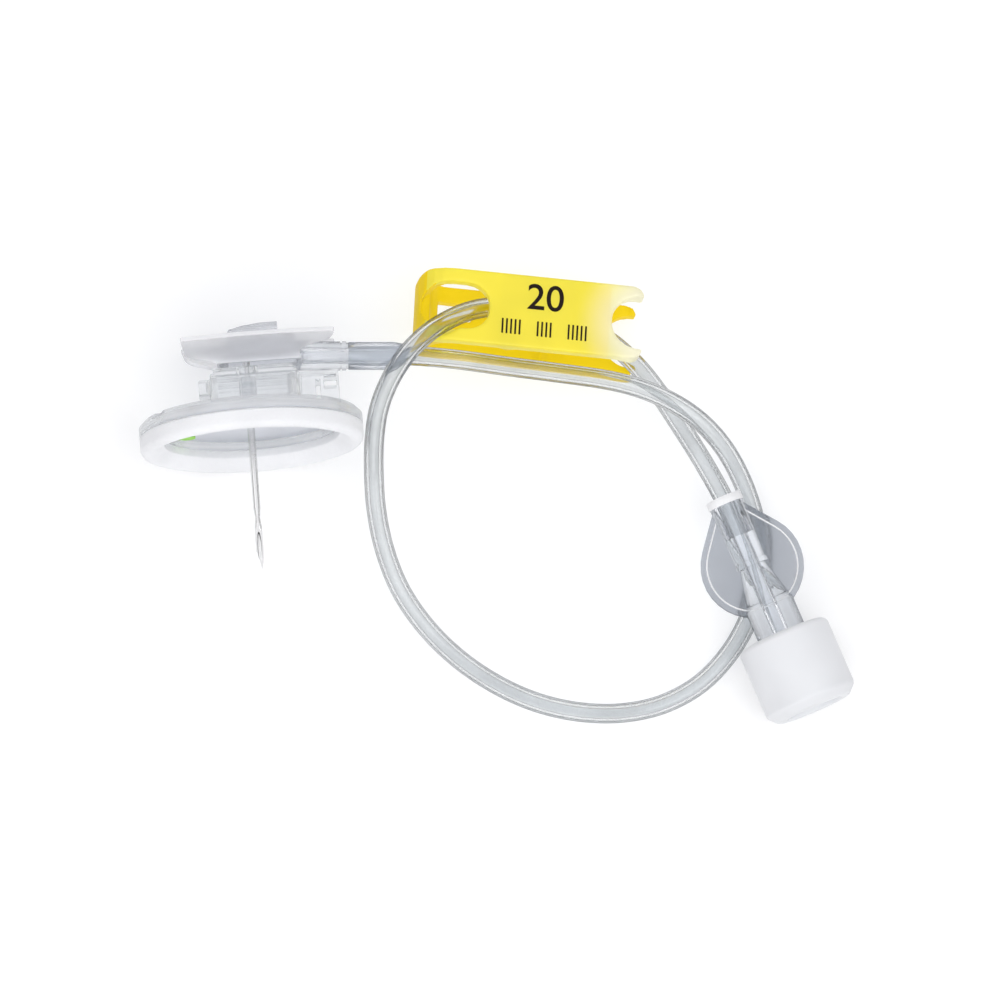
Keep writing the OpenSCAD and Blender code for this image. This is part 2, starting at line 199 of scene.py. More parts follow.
def sweep(name, line, radii, sides):
    """A tube with a wall between two radii, along a line in metres."""
    verts, faces = [], []
    count = len(line)
    # The outer wall's rings come first, then the bore's
    for radius in radii:
        for i, point in enumerate(line):
            way = (line[min(i + 1, count - 1)] - line[max(i - 1, 0)]).normalized()
            across = way.cross(Vector((0, 0, 1))).normalized()
            up = across.cross(way)
            for k in range(sides):
                angle = 2 * math.pi * k / sides
                verts.append(point + radius * (math.cos(angle) * across + math.sin(angle) * up))
    inner = count * sides
    for i in range(count - 1):
        for k in range(sides):
            a, b = i * sides + k, i * sides + (k + 1) % sides
            faces.append((a, b, b + sides, a + sides))
            faces.append((inner + b, inner + a, inner + a + sides, inner + b + sides))
    last = (count - 1) * sides
    for k in range(sides):
        a, b = k, (k + 1) % sides
        faces.append((b, a, inner + a, inner + b))
        faces.append((last + a, last + b, inner + last + b, inner + last + a))
    mesh = bpy.data.meshes.new(name)
    mesh.from_pydata(verts, [], faces)
    piece = bpy.data.objects.new(name, mesh)
    bpy.context.scene.collection.objects.link(piece)
    only(piece)
    bpy.ops.object.mode_set(mode="EDIT")
    bpy.ops.mesh.select_all(action="SELECT")
    bpy.ops.mesh.normals_make_consistent(inside=False)
    bpy.ops.object.mode_set(mode="OBJECT")
    smooth(piece, 40)
    return piece


tube_path = [p * MM for p in tube_line]
tube = sweep("tube", tube_path, (TUBE_D / 2 * MM, TUBE_BORE / 2 * MM), SIDES)
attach(tube, "set")
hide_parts("extension_tube")
print("tube faces:", len(tube.data.polygons))

# %% [markdown]
# ## Where the device, the connector and the clamp lie
# The device was drawn standing on its pad with the needle down, and was then laid on its rim.
# The same turn in a matrix lets new details be made standing up too.

# %% Frames of the three groups
LIE_TILT, LIE_TURN = 6, 4.2
SOCKET_L, SOCKET_Z, SOCKET_LEAN = 12.3, 11.5, math.radians(4.2)
mouth = (SOCKET_L * math.cos(SOCKET_LEAN), 0, SOCKET_Z - SOCKET_L * math.sin(SOCKET_LEAN))
device = (shift(*ROUTE[0]) @ turned(x=-(90 + LIE_TILT), z=LIE_TURN)
          @ shift(*(-v for v in mouth)))
on_connector = shift(*ROUTE[-1]) @ turned(x=90, z=CONNECTOR_TURN)

CLAMP_AT = (29.2, 14.6)
CLAMP_ROLL, CLAMP_PITCH, CLAMP_TURN = -14, 8, -5
CLAMP_L, CLAMP_W, CLAMP_H = 27.3, 9.2, 8.4
STRAP_T, NOTCH_R, NOTCH_IN = 1.5, 3.3, 0.6
clamp_rise = (CLAMP_W / 2 * math.sin(math.radians(-CLAMP_ROLL))
              + CLAMP_L / 2 * math.sin(math.radians(CLAMP_PITCH)))
on_clamp = (shift(*CLAMP_AT, clamp_rise) @ turned(z=CLAMP_TURN) @ turned(y=CLAMP_PITCH)
            @ turned(x=CLAMP_ROLL))

# %% [markdown]
# ## Moulded pieces with softened edges
# The hub, the guard, the clamp and the connector are injection mouldings whose CAD shape is right
# already. On the real parts no edge is knife-sharp, and on clear plastic a rounded edge is what
# draws the outline, because it bends the light. So each CAD solid is copied, its loose triangles
# are welded, its flat faces are joined, and a small bevel rounds its sharp edges. The copy then
# stands for the node. Working in millimetres suits such small parts. A bevel stops where it would
# run into its neighbour, so very short edges hold it back on the whole piece: the housing, the
# clip and the cap get their full width, the plate, the sleeve and the guide about half or a third
# of it, and the edges of the hub and the connector stay nearly sharp.
#
# The clamp's free end is notched in its upper jaw, so that the tube can leave between two prongs.
# Its lower jaw gets the same notch here, cut with a cylinder and a Boolean modifier. Its many
# small arcs leave no room for a bevel, so it is meshed anew on an even grid that lies along the
# clamp, and smoothing that grid rounds its edges.

# %% Copy, weld and bevel
def welded_copy(node, name):
    piece = bpy.data.objects.new(name, nodes[node].data.copy())
    bpy.context.scene.collection.objects.link(piece)
    piece.data.transform(Matrix.Scale(1 / MM, 4))
    only(piece)
    if piece.data.has_custom_normals:
        bpy.ops.mesh.customdata_custom_splitnormals_clear()
    bpy.ops.object.mode_set(mode="EDIT")
    bpy.ops.mesh.select_all(action="SELECT")
    bpy.ops.mesh.remove_doubles(threshold=0.002)
    bpy.ops.mesh.dissolve_limited(angle_limit=math.radians(0.6))
    bpy.ops.object.mode_set(mode="OBJECT")
    piece.data.materials.clear()
    return piece


CUT_BELOW, CUT_ABOVE = 0.9, 0.1


def notch_cutter():
    """A cylinder through the lower jaw, from a little below it to a little above."""
    bpy.ops.object.select_all(action="DESELECT")
    bpy.ops.mesh.primitive_cylinder_add(
        vertices=64, radius=NOTCH_R, depth=STRAP_T + CUT_BELOW + CUT_ABOVE)
    cutter = bpy.context.object
    middle = (STRAP_T + CUT_ABOVE - CUT_BELOW) / 2
    cutter.data.transform(Matrix.Translation((CLAMP_L / 2 - NOTCH_IN, 0, middle)))
    cutter.data.transform(in_mm(on_clamp))
    return cutter


def soft_clamp(piece, grid, rounds):
    cutter = notch_cutter()
    modify(piece, "BOOLEAN", object=cutter, operation="DIFFERENCE", solver="EXACT")
    bpy.data.objects.remove(cutter)
    frame_mm = in_mm(on_clamp)
    piece.data.transform(frame_mm.inverted())
    modify(piece, "REMESH", mode="VOXEL", voxel_size=grid)
    modify(piece, "SMOOTH", factor=0.5, iterations=rounds)
    piece.data.transform(frame_mm)


def moulded(node, name, body, edge, segments=2, soften=rounded_edges):
    """Stands a softened copy for a node. The clamp's two numbers are its grid and its rounds."""
    piece = welded_copy(node, name)
    soften(piece, edge, segments)
    piece.data.transform(Matrix.Scale(MM, 4))
    smooth(piece)
    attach(piece, body)
    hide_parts(node)
    print(f"{name}: {len(piece.data.polygons)} faces")
    return piece


hub = moulded("hub", "hub_moulding", "set", 0.12)
sleeve = moulded("strain_relief", "tube_sleeve", "set", 0.1)
plate = moulded("base_plate", "guard_plate", "guard", 0.12)
housing = moulded("guard_housing", "guard_box", "guard", 0.12)
guide = moulded("needle_guide", "guide_tube", "guard", 0.06)
clip = moulded("lock_clip", "lock_spring", "guard", 0.05)
clamp = moulded("pinch_clamp", "slide_clamp", "set", 0.18, 4, soft_clamp)
connector = moulded("connector", "lock_connector", "set", 0.12)
cap = moulded("connector_cap", "lock_cap", "cap", 0.25, 3)

# %% [markdown]
# ## The comfort pad
# The white ring round the needle is soft closed-cell foam, dished where it meets the skin. Its
# section is a rounded, slightly crowned shape. A circle's points are moved to that section and
# spun round the needle's axis, which gives even rings all the way round.

# %% Spin helper and the pad
def spun(name, profile, steps):
    """A closed ring whose section has these (radius, height) points."""
    bpy.ops.object.select_all(action="DESELECT")
    bpy.ops.mesh.primitive_circle_add(vertices=len(profile), radius=1)
    piece = bpy.context.object
    piece.name = piece.data.name = name
    for vert, (radius, height) in zip(piece.data.vertices, profile):
        vert.co = (radius, 0, height)
    bpy.ops.object.mode_set(mode="EDIT")
    bpy.ops.mesh.select_all(action="SELECT")
    bpy.ops.mesh.spin(steps=steps, angle=2 * math.pi, center=(0, 0, 0), axis=(0, 0, 1))
    bpy.ops.object.mode_set(mode="OBJECT")
    weld(piece)
    smooth(piece, 50)
    return piece


BASE_R, RECESS_R, PAD_H, PAD_DISH = 13.4, 10.5, 2.25, 1.5
PAD_LIP_R, PAD_RIM_R, PAD_TOP_R = 0.3, 0.95, 0.2


def arc(x, y, radius, start, end, steps):
    return [(x + radius * math.cos(math.radians(start + (end - start) * k / steps)),
             y + radius * math.sin(math.radians(start + (end - start) * k / steps)))
            for k in range(steps + 1)]


pad_profile = (
    [(RECESS_R + 0.02, PAD_H - 0.02), (RECESS_R, PAD_DISH + 0.25)]
    + arc(RECESS_R + PAD_LIP_R, PAD_DISH - 0.02, PAD_LIP_R, 180, 235, 4)
    + [(RECESS_R + 0.9, 0.62), (BASE_R - 1.5, 0.12)]
    + arc(BASE_R - PAD_RIM_R, PAD_RIM_R, PAD_RIM_R, 262, 350, 8)
    + [(BASE_R - 0.01, PAD_H - 0.3)]
    + arc(BASE_R - 0.21, PAD_H - 0.22, PAD_TOP_R, 5, 90, 4))
pad = place(spun("comfort_ring", pad_profile, steps=128), device)
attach(pad, "guard")
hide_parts("comfort_pad")

# %% [markdown]
# ## The wings
# The wing grip is one thin frosted sheet that passes under the hub: the near wing stands almost
# straight out, and the far one lies on the table and is flexed up. Both bow most near the root.
# A grid is given its rows where the outline turns, and each point is moved to the wing's width
# and height at its row. The faces where the hub stands are deleted, and Solidify and Bevel give
# the sheet its thickness.

# %% Wings
WING_Z, WING_ROOT_Y, WING_L, WING_T = 10.2, 2.8, 10.0, 0.5
NEAR_RISE, FAR_RISE = 5, 28
NEAR_BOW, FAR_BOW, TIP_CURVE = 0.45, 0.9, 0.6
HUB_BACK, HUB_FRONT, HUB_HALF = -2.1, 6.1, 2.2
SHEET_BACK, SHEET_FRONT = -3.5, 6.6
# Distance out from the root, with the back edge and the front edge there
WING_ROWS = [
    (0.0, -3.5, 6.6), (0.1, -3.8, 6.5), (0.25, -4.3, 6.5), (0.5, -5.1, 6.5), (0.9, -6.0, 6.5),
    (1.3, -6.55, 6.5), (1.9, -6.95, 6.6), (2.7, -7.2, 7.1), (3.6, -7.33, 7.8),
    (4.4, -7.4, 8.5), (5.0, -7.43, 9.3), (5.6, -7.47, 10.05), (6.6, -7.52, 10.3),
    (7.7, -7.58, 10.5), (8.8, -7.63, 10.65), (9.5, -7.66, 10.72), (10.0, -7.6, 10.6),
]
# Shares of the way from a row's back edge to its front edge, closest together at the hub
HUB_STEPS = 14
hub_from = (HUB_BACK - SHEET_BACK) / (SHEET_FRONT - SHEET_BACK)
hub_to = (HUB_FRONT - SHEET_BACK) / (SHEET_FRONT - SHEET_BACK)
across_steps = [0, 0.07]
across_steps += [hub_from + (hub_to - hub_from) * k / HUB_STEPS for k in range(HUB_STEPS + 1)]
across_steps += [0.975, 1]

rows = [(-1, *row) for row in reversed(WING_ROWS)]
rows += [(0, half * HUB_HALF / 2, SHEET_BACK, SHEET_FRONT) for half in range(-2, 3)]
rows += [(1, *row) for row in WING_ROWS]

bpy.ops.object.select_all(action="DESELECT")
bpy.ops.mesh.primitive_grid_add(x_subdivisions=len(across_steps) - 1,
                                y_subdivisions=len(rows) - 1, size=2)
wings = bpy.context.object
wings.name = wings.data.name = "wing_grip"
for index, vert in enumerate(wings.data.vertices):
    side, out_by, x_back, x_front = rows[index // len(across_steps)]
    along = across_steps[index % len(across_steps)]
    x = x_back + (x_front - x_back) * along
    if side == 0:
        vert.co = (x, out_by, WING_Z)
        continue
    tip_curve = TIP_CURVE * (out_by / WING_L) ** 2 * (1 - (2 * along - 1) ** 2)
    bow = (NEAR_BOW if side < 0 else FAR_BOW) * math.sin(math.pi * math.sqrt(out_by / WING_L))
    rise = math.radians(NEAR_RISE if side < 0 else FAR_RISE)
    reach = out_by + tip_curve
    vert.co = (x, side * (WING_ROOT_Y + reach * math.cos(rise) - bow * math.sin(rise)),
               WING_Z + reach * math.sin(rise) + bow * math.cos(rise))
only(wings)
bpy.ops.object.mode_set(mode="EDIT")
bpy.ops.mesh.select_mode(type="FACE")
bpy.ops.mesh.select_all(action="DESELECT")
bpy.ops.object.mode_set(mode="OBJECT")
for face in wings.data.polygons:
    c = face.center
    face.select = HUB_BACK < c.x < HUB_FRONT and abs(c.y) < HUB_HALF
bpy.ops.object.mode_set(mode="EDIT")
bpy.ops.mesh.delete(type="FACE")
bpy.ops.mesh.select_mode(type="VERT")
bpy.ops.object.mode_set(mode="OBJECT")
modify(wings, "SOLIDIFY", thickness=WING_T, offset=1)
rounded_edges(wings, 0.16, 3, angle=50)
smooth(wings, 50)
place(wings, device)
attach(wings, "set")
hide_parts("wings")
print("wings:", len(wings.data.polygons), "faces")

# %% [markdown]
# ## The needle
# The cannula is drawn steel with a slanted opening at its point. Just above the opening the tube
# is nipped in, which turns its side-cut tip. The CAD solid has the bore and the bevel, so its
# welded copy is cut into rings with bisect, and the ring in the middle is squeezed.

# %% Needle
NIP_Z, NIP_HALF, NIP_DEPTH = -8.3, 1.2, 0.3
needle = welded_copy("needle", "cannula")
needle.data.transform(in_mm(device).inverted())
only(needle)
bpy.ops.object.mode_set(mode="EDIT")
for up in (-NIP_HALF, -0.5, 0, 0.5, NIP_HALF):
    bpy.ops.mesh.select_all(action="SELECT")
    bpy.ops.mesh.bisect(plane_co=(0, 0, NIP_Z + up), plane_no=(0, 0, 1))
bpy.ops.object.mode_set(mode="OBJECT")
for vert in needle.data.vertices:
    reach = abs(vert.co.z - NIP_Z)
    if reach < NIP_HALF - 0.1:
        squeeze = NIP_DEPTH * (1 - reach / NIP_HALF)
        vert.co.x *= 1 - squeeze
        vert.co.y *= 1 - 0.4 * squeeze
place(needle, device)
smooth(needle)
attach(needle, "set")
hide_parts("needle")

# %% [markdown]
# ## Details of the connector
# The finger tab has a thin raised line just inside its edge, and the collar's mouth has a
# frosted rim. The line is a curve given a round section, made a mesh before it is placed.

# %% Tab line and collar rim
BARREL_L, TAB_R, TAB_T, COLLAR_D = 8.9, 6.2, 1.1, 4.2


def tab_points(radius, tip_radius, reach):
    lean = math.degrees(math.asin((radius - tip_radius) / reach))
    return (arc(0, 0, radius, 180 - lean, 360 + lean, 30)
            + arc(0, reach, tip_radius, lean, 180 - lean, 10))


def bead(name, points, radius):
    """A round bead along a closed line."""
    curve = bpy.data.curves.new(name, "CURVE")
    curve.dimensions = "3D"
    curve.bevel_depth = radius
    curve.bevel_resolution = 3
    spline = curve.splines.new("POLY")
    spline.points.add(len(points) - 1)
    for spot, point in zip(spline.points, points):
        spot.co = (*point, 1)
    spline.use_cyclic_u = True
    piece = bpy.data.objects.new(name, curve)
    bpy.context.scene.collection.objects.link(piece)
    only(piece)
    bpy.ops.object.convert(target="MESH")
    smooth(bpy.context.object, 60)
    return bpy.context.object


TAB_TOP = -0.9 + TAB_T / 2
LINE_IN, LINE_TIP_R = 0.75, 1.5
line_path = tab_points(TAB_R - LINE_IN, LINE_TIP_R, BARREL_L - 2.4)
line_points = [(x, TAB_TOP, BARREL_L - y) for x, y in line_path]
tab_line = place(bead("tab_line", line_points, 0.1), on_connector)
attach(tab_line, "set")

rim_r = COLLAR_D / 2
rim_profile = [(rim_r - 0.1, 0), (rim_r + 0.02, 0), (rim_r + 0.12, 0.15), (rim_r + 0.12, 0.85),
               (rim_r + 0.02, 1.0), (rim_r - 0.1, 1.0)]
rim = place(spun("collar_rim", rim_profile, steps=48), on_connector)
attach(rim, "set")

# %% [markdown]
# ## The print on the clamp
# The clamp's front carries the needle's gauge as plain digits, with a row of plain strokes under
# it. Both are thin raised ink: text and strokes are made meshes before they are placed.

# %% Print
INK_T = 0.03
PRINT_X = 1.6


def printed(name, words, size, y):
    bpy.ops.object.select_all(action="DESELECT")
    bpy.ops.object.text_add()
    piece = bpy.context.object
    piece.name = name
    piece.data.body = words
    piece.data.size = size
    piece.data.extrude = INK_T
    piece.data.offset = INK_T
    piece.data.align_x = "CENTER"
    piece.data.align_y = "CENTER"
    bpy.ops.object.convert(target="MESH")
    piece = bpy.context.object
    weld(piece)
    piece.data.transform(Matrix.Translation((PRINT_X, y, CLAMP_H)))
    place(piece, on_clamp)
    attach(piece, "set")
    return piece


digits = printed("gauge_digits", "20", size=4.6, y=1.7)
strokes = printed("gauge_strokes", "|||||   ||||   |||||", size=2.0, y=-2.0)

# %% [markdown]
# ## Finishes
# Effects that several materials share are node groups. `moulding_grain` gives the slightly uneven
# gloss and the faint waviness of a moulded surface, `moulding_tone` lets a colour drift a little
# from place to place, as wall thickness does, `near_spot` is a soft mask round one point, and
# `turned_lines` gives fine lines across an axis, as a turned mould leaves. Each material then
# holds its own shader.

# %% Node helpers and the shared groups
def make_group(name, inputs, outputs):
    group = bpy.data.node_groups.new(name, "ShaderNodeTree")
    for label, kind, value in inputs:
        socket = group.interface.new_socket(label, in_out="INPUT", socket_type=kind)
        socket.default_value = value
    for label, kind in outputs:
        group.interface.new_socket(label, in_out="OUTPUT", socket_type=kind)
    return group, group.nodes.new("NodeGroupInput"), group.nodes.new("NodeGroupOutput")


def add_node(tree, kind, **sockets):
    node = tree.nodes.new(kind)
    for label, value in sockets.items():
        node.inputs[label.replace("_", " ")].default_value = value
    return node


def maths(tree, operation, *values):
    """One maths node on sockets or plain numbers. It gives back the node's output."""
    node = tree.nodes.new("ShaderNodeMath")
    node.operation = operation
    for socket, value in zip(node.inputs, values):
        if isinstance(value, bpy.types.NodeSocket):
            tree.links.new(value, socket)
        else:
            socket.default_value = value
    return node.outputs[0]


grain, into, out = make_group(
    "moulding_grain",
    [("Scale", "NodeSocketFloat", 300.0), ("Gloss", "NodeSocketFloat", 0.1),
     ("Unevenness", "NodeSocketFloat", 0.05)],
    [("Roughness", "NodeSocketFloat"), ("Height", "NodeSocketFloat")])
spot = grain.nodes.new("ShaderNodeTexCoord")
noise = add_node(grain, "ShaderNodeTexNoise", Detail=3.0)
spread = grain.nodes.new("ShaderNodeMapRange")
roughest = maths(grain, "ADD", into.outputs["Gloss"], into.outputs["Unevenness"])
grain.links.new(spot.outputs["Object"], noise.inputs["Vector"])
grain.links.new(into.outputs["Scale"], noise.inputs["Scale"])
grain.links.new(noise.outputs["Fac"], spread.inputs["Value"])
grain.links.new(into.outputs["Gloss"], spread.inputs["To Min"])
grain.links.new(roughest, spread.inputs["To Max"])
grain.links.new(spread.outputs["Result"], out.inputs["Roughness"])
grain.links.new(noise.outputs["Fac"], out.inputs["Height"])

tone, into, out = make_group(
    "moulding_tone",
    [("Colour", "NodeSocketColor", (1, 1, 1, 1)), ("Drift", "NodeSocketFloat", 0.06)],
    [("Colour", "NodeSocketColor")])
spot = tone.nodes.new("ShaderNodeTexCoord")
noise = add_node(tone, "ShaderNodeTexNoise", Scale=160.0, Detail=1.0)
lowest = maths(tone, "SUBTRACT", 1, into.outputs["Drift"])
spread = add_node(tone, "ShaderNodeMapRange", From_Min=0.3, From_Max=0.6)
dim = tone.nodes.new("ShaderNodeVectorMath")
dim.operation = "SCALE"
tone.links.new(spot.outputs["Object"], noise.inputs["Vector"])
tone.links.new(noise.outputs["Fac"], spread.inputs["Value"])
tone.links.new(lowest, spread.inputs["To Min"])
tone.links.new(into.outputs["Colour"], dim.inputs[0])
tone.links.new(spread.outputs["Result"], dim.inputs["Scale"])
tone.links.new(dim.outputs["Vector"], out.inputs["Colour"])

near, into, out = make_group(
    "near_spot",
    [("Spot", "NodeSocketVector", (0, 0, 0)), ("Inner", "NodeSocketFloat", 0.002),
     ("Outer", "NodeSocketFloat", 0.008)],
    [("Mask", "NodeSocketFloat")])
spot = near.nodes.new("ShaderNodeTexCoord")
reach = near.nodes.new("ShaderNodeVectorMath")
reach.operation = "DISTANCE"
fall = add_node(near, "ShaderNodeMapRange", To_Min=1.0, To_Max=0.0)
fall.interpolation_type = "SMOOTHSTEP"
near.links.new(spot.outputs["Object"], reach.inputs[0])
near.links.new(into.outputs["Spot"], reach.inputs[1])
near.links.new(reach.outputs["Value"], fall.inputs["Value"])
near.links.new(into.outputs["Inner"], fall.inputs["From Min"])
near.links.new(into.outputs["Outer"], fall.inputs["From Max"])
near.links.new(fall.outputs["Result"], out.inputs["Mask"])

lines, into, out = make_group(
    "turned_lines",
    [("Axis", "NodeSocketVector", (0, 0, 1)), ("Scale", "NodeSocketFloat", 1000.0)],
    [("Lines", "NodeSocketFloat")])
spot = lines.nodes.new("ShaderNodeTexCoord")
along = lines.nodes.new("ShaderNodeVectorMath")
along.operation = "DOT_PRODUCT"
noise = add_node(lines, "ShaderNodeTexNoise", Detail=2.0)
noise.noise_dimensions = "1D"
spread = add_node(lines, "ShaderNodeMapRange", From_Min=0.35, From_Max=0.65)
lines.links.new(spot.outputs["Object"], along.inputs[0])
lines.links.new(into.outputs["Axis"], along.inputs[1])
lines.links.new(along.outputs["Value"], noise.inputs["W"])
lines.links.new(into.outputs["Scale"], noise.inputs["Scale"])
lines.links.new(noise.outputs["Fac"], spread.inputs["Value"])
lines.links.new(spread.outputs["Result"], out.inputs["Lines"])


# %% [markdown]
# ## Clear plastic
# A clear moulding is a glass-like shader with the plastic's own faint grey. Light has to reach
# what is inside it, so rays from lamps and soft light pass through a transparent shader instead,
# which keeps the shadow on the table pale, as clear plastic's is. Towards its edges a clear wall
# gets a painted shade, darker the more slantwise it is seen, which stands in for the dark
# surroundings that a real wall bends and reflects into view there.

# %% Material makers
# How high the grain and the lines stand, in metres
RELIEF = 0.0002
# A colour mix has its sockets by number
MIX_SHARE, MIX_FROM, MIX_TO, MIX_RESULT = 0, 6, 7, 2
PLASTIC_IOR = 1.5


def finish_start(name, colour, scale, gloss, unevenness, bump):
    material = bpy.data.materials.new(name)
    material.use_nodes = True
    tree = material.node_tree
    shader = tree.nodes["Principled BSDF"]
    tint = tree.nodes.new("ShaderNodeGroup")
    tint.node_tree = tone
    tint.name = "tint"
    tint.inputs["Colour"].default_value = (*colour, 1)
    tree.links.new(tint.outputs["Colour"], shader.inputs["Base Color"])
    surface = tree.nodes.new("ShaderNodeGroup")
    surface.node_tree = grain
    surface.inputs["Scale"].default_value = scale
    surface.inputs["Gloss"].default_value = gloss
    surface.inputs["Unevenness"].default_value = unevenness
    tree.links.new(surface.outputs["Roughness"], shader.inputs["Roughness"])
    wave = add_node(tree, "ShaderNodeBump", Strength=bump, Distance=RELIEF)
    tree.links.new(surface.outputs["Height"], wave.inputs["Height"])
    tree.links.new(wave.outputs["Normal"], shader.inputs["Normal"])
    return material, tree, shader


def blend_to(material, mask, colour):
    """Where the mask is, the finish turns to another colour."""
    tree = material.node_tree
    into = tree.nodes["tint"].inputs["Colour"]
    blend = tree.nodes.new("ShaderNodeMix")
    blend.data_type = "RGBA"
    blend.inputs[MIX_FROM].default_value = into.default_value
    blend.inputs[MIX_TO].default_value = (*colour, 1)
    if into.links:
        tree.links.new(into.links[0].from_socket, blend.inputs[MIX_FROM])
    tree.links.new(mask, blend.inputs[MIX_SHARE])
    tree.links.new(blend.outputs[MIX_RESULT], into)


def mix_shaders(tree, share, first, second):
    mixed = tree.nodes.new("ShaderNodeMixShader")
    for socket, source in zip(mixed.inputs, (share, first, second)):
        tree.links.new(source, socket)
    return mixed.outputs[0]


def clear_finish(name, colour, shade, gloss=0.04, unevenness=0.08, bump=0.1, clarity=1.0,
                 edge=1.0):
    material, tree, shader = finish_start(name, colour, 350, gloss, unevenness, bump)
    surface = shader.outputs[0]
    # Painted shade: towards the slantwise rim the colour darkens and a dark transparent layer is
    # mixed in.
    if edge < 1:
        painted_edge_colour = [edge * c for c in colour]
        slant = add_node(tree, "ShaderNodeLayerWeight", Blend=0.5)
        painted_edge_mask = add_node(tree, "ShaderNodeMapRange", From_Min=0.3, From_Max=0.85, To_Max=0.75)
        tree.links.new(slant.outputs["Facing"], painted_edge_mask.inputs["Value"])
        blend_to(material, painted_edge_mask.outputs["Result"], painted_edge_colour)
        outline = add_node(tree, "ShaderNodeBsdfTransparent", Color=(*painted_edge_colour, 1))
        surface = mix_shaders(tree, painted_edge_mask.outputs["Result"], surface, outline.outputs[0])
    shader.inputs["Transmission Weight"].default_value = clarity
    shader.inputs["IOR"].default_value = PLASTIC_IOR
    path = tree.nodes.new("ShaderNodeLightPath")
    gap = add_node(tree, "ShaderNodeBsdfTransparent", Color=(*shade, 1))
    soft = maths(tree, "MAXIMUM", path.outputs["Is Shadow Ray"], path.outputs["Is Diffuse Ray"])
    whole = mix_shaders(tree, soft, surface, gap.outputs[0])
    tree.links.new(whole, tree.nodes["Material Output"].inputs["Surface"])
    return material


def solid_finish(name, colour, scale=400, gloss=0.35, unevenness=0.15, bump=0.15, **sockets):
    material, tree, shader = finish_start(name, colour, scale, gloss, unevenness, bump)
    for label, value in sockets.items():
        shader.inputs[label.replace("_", " ")].default_value = value
    return material


def change_near(material, colour, spot_mm, inner, outer):
    """The finish turns to another colour round one point of the object."""
    mask = material.node_tree.nodes.new("ShaderNodeGroup")
    mask.node_tree = near
    mask.inputs["Spot"].default_value = Vector(spot_mm) * MM
    mask.inputs["Inner"].default_value = inner * MM
    mask.inputs["Outer"].default_value = outer * MM
    blend_to(material, mask.outputs["Mask"], colour)


def add_lines(material, axis, colour, depth, scale=1400):
    """Fine lines across an axis, a little raised and of another tone."""
    tree = material.node_tree
    shader = tree.nodes["Principled BSDF"]
    mask = tree.nodes.new("ShaderNodeGroup")
    mask.node_tree = lines
    mask.inputs["Axis"].default_value = axis
    mask.inputs["Scale"].default_value = scale
    blend_to(material, mask.outputs["Lines"], colour)
    ridge = add_node(tree, "ShaderNodeBump", Strength=depth, Distance=RELIEF)
    tree.links.new(mask.outputs["Lines"], ridge.inputs["Height"])
    tree.links.new(shader.inputs["Normal"].links[0].from_socket, ridge.inputs["Normal"])
    tree.links.new(ridge.outputs["Normal"], shader.inputs["Normal"])


# %% [markdown]
# ## The set's own finishes
# The hub, the housing, the plate, the sleeve, the tube and the connector are clear plastics, each
# with its own tone and clarity, and a painted dark edge as the shade at their rims. The wings are
# frosted, and carry painted shade where the hub is behind them, the hub's shade seen through
# them. The clamp's yellow turns pale towards its free end. The pad is matt foam, and a little
# light enters it and the cap.

# %% Make and hand out the materials
CLEAR_SHADE = (0.92, 0.93, 0.94)
NEEDLE_AXIS = device.to_3x3() @ Vector((0, 0, 1))
clear_hub = clear_finish("clear_hub", (0.95, 0.96, 0.98), CLEAR_SHADE, clarity=0.9, edge=0.7)
add_lines(clear_hub, NEEDLE_AXIS, (0.82, 0.84, 0.87), 0.15)
clear_guard = clear_finish("clear_guard", (0.98, 0.99, 0.995), CLEAR_SHADE, clarity=0.85,
                           edge=0.9)
add_lines(clear_guard, NEEDLE_AXIS, (0.95, 0.96, 0.97), 0.15)
clear_plate = clear_finish("clear_plate", (0.99, 0.995, 1.0), CLEAR_SHADE, gloss=0.1,
                           clarity=0.68, edge=0.88)
add_lines(clear_plate, NEEDLE_AXIS, (0.78, 0.8, 0.83), 0.35, 2200)
clear_tube = clear_finish("clear_tube", (0.82, 0.835, 0.84), CLEAR_SHADE, gloss=0.03, edge=0.5)
clear_sleeve = clear_finish("clear_sleeve", (0.88, 0.91, 0.96), CLEAR_SHADE, clarity=0.88,
                            edge=0.7)
clear_connector = clear_finish("clear_connector", (0.87, 0.89, 0.92), CLEAR_SHADE, clarity=0.97,
                               edge=0.7)
tab_finish = clear_finish("frosted_tab", (0.46, 0.48, 0.52), CLEAR_SHADE, gloss=0.2, edge=0.6)
# The recess ceiling is etched matt; its greyer colour is painted shade in the recess.
ceiling_shade_finish = clear_finish("frosted_shaded_ceiling", (0.8, 0.82, 0.88), CLEAR_SHADE, gloss=0.4,
                              clarity=0.8)
frosted = clear_finish("frosted_wing", (0.99, 0.99, 1.0), (0.85, 0.85, 0.87), gloss=0.3,
                       unevenness=0.2, bump=0.3, clarity=0.4, edge=0.92)
# Painted shade on the wings in front of the hub, standing for the hub's shade seen through them.
change_near(frosted, (0.93, 0.93, 0.95), (-1.6, 12.4, 17), 2, 8)
rim_finish = clear_finish("frosted_rim", (0.98, 0.98, 0.985), (0.9, 0.9, 0.9), gloss=0.5,
                          unevenness=0.2, bump=1.0, clarity=0.2)
yellow = clear_finish("yellow_clamp", (1.0, 0.91, 0.06), (0.98, 0.96, 0.85), gloss=0.3,
                      unevenness=0.15, bump=0.15, clarity=0.3)
change_near(yellow, (1.0, 0.97, 0.75), (46.5, 15.5, 11), 5, 11)
